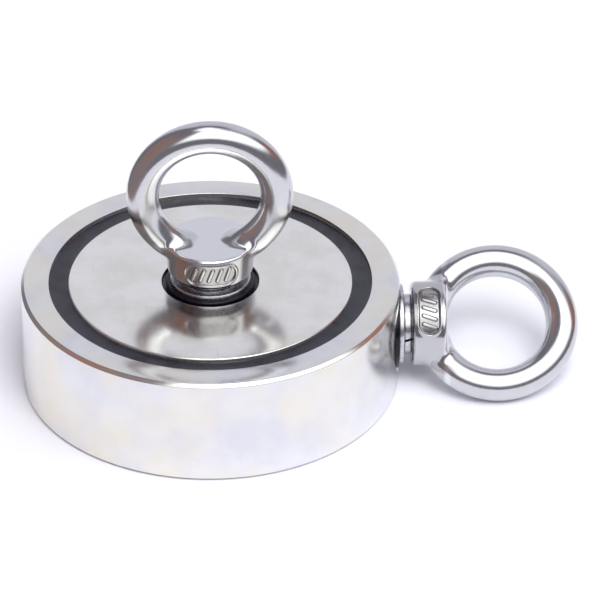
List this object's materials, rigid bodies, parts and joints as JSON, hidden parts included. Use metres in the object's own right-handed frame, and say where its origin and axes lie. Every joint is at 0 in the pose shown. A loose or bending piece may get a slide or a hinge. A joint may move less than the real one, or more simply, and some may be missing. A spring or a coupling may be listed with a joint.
{
  "type": "magnet fishing magnet",
  "caption": "Round double-sided pot magnet for recovering steel from water, with an eye bolt screwed into its upper face and another into its side wall.",
  "frame": {"origin": "middle of the pot's lower face, on the pot's axis", "axes": "+Z is the pot's axis, out of the upper face; +X is the side eye bolt's axis, out of the wall"},
  "size_m": [0.1388, 0.094, 0.0731],
  "materials": {
    "plated_steel": "nickel plated, turned and satin polished",
    "magnet_plating": "nickel plated magnet face, ground and polished",
    "resin": "cast epoxy, dull grey-black",
    "glue": "cured adhesive film",
    "rubber": "smooth black rubber",
    "washer_steel": "zinc plated washers",
    "eye_steel": "polished stainless steel forging"
  },
  "bodies": {
    "pot": {"housing": "plated_steel", "upper_magnet": "magnet_plating", "lower_magnet": "magnet_plating", "upper_bond_layer": "glue", "lower_bond_layer": "glue", "upper_potting_ring": "resin", "lower_potting_ring": "resin", "upper_core_potting": "resin", "lower_core_potting": "resin", "top_seal_ring": "rubber", "side_seal_ring": "rubber"},
    "top_washers": {"top_flat_washer": "washer_steel", "top_spring_washer": "washer_steel"},
    "top_bolt": {"top_eye_bolt": "eye_steel"},
    "side_washers": {"side_flat_washer": "washer_steel", "side_spring_washer": "washer_steel"},
    "side_bolt": {"side_eye_bolt": "eye_steel"}
  },
  "joints": [
    {"name": "top_bolt_travel", "type": "slide", "parent": "pot", "child": "top_washers", "axis": [0, 0, 1], "range_m": [0, 0.0137]},
    {"name": "top_bolt_turn", "type": "hinge", "parent": "top_washers", "child": "top_bolt", "pos_m": [0, 0, 0.0312], "axis": [0, 0, 1], "range_deg": [0, 3240]},
    {"name": "side_bolt_travel", "type": "slide", "parent": "pot", "child": "side_washers", "axis": [1, 0, 0], "range_m": [0, 0.0137]},
    {"name": "side_bolt_turn", "type": "hinge", "parent": "side_washers", "child": "side_bolt", "pos_m": [0.0499, 0, 0.014], "axis": [1, 0, 0], "range_deg": [0, 3240]}
  ],
  "couplings": [
    {"joint": "top_bolt_travel", "follows": "top_bolt_turn", "m_per_rad": 0.00023873},
    {"joint": "side_bolt_travel", "follows": "side_bolt_turn", "m_per_rad": 0.00023873}
  ]
}
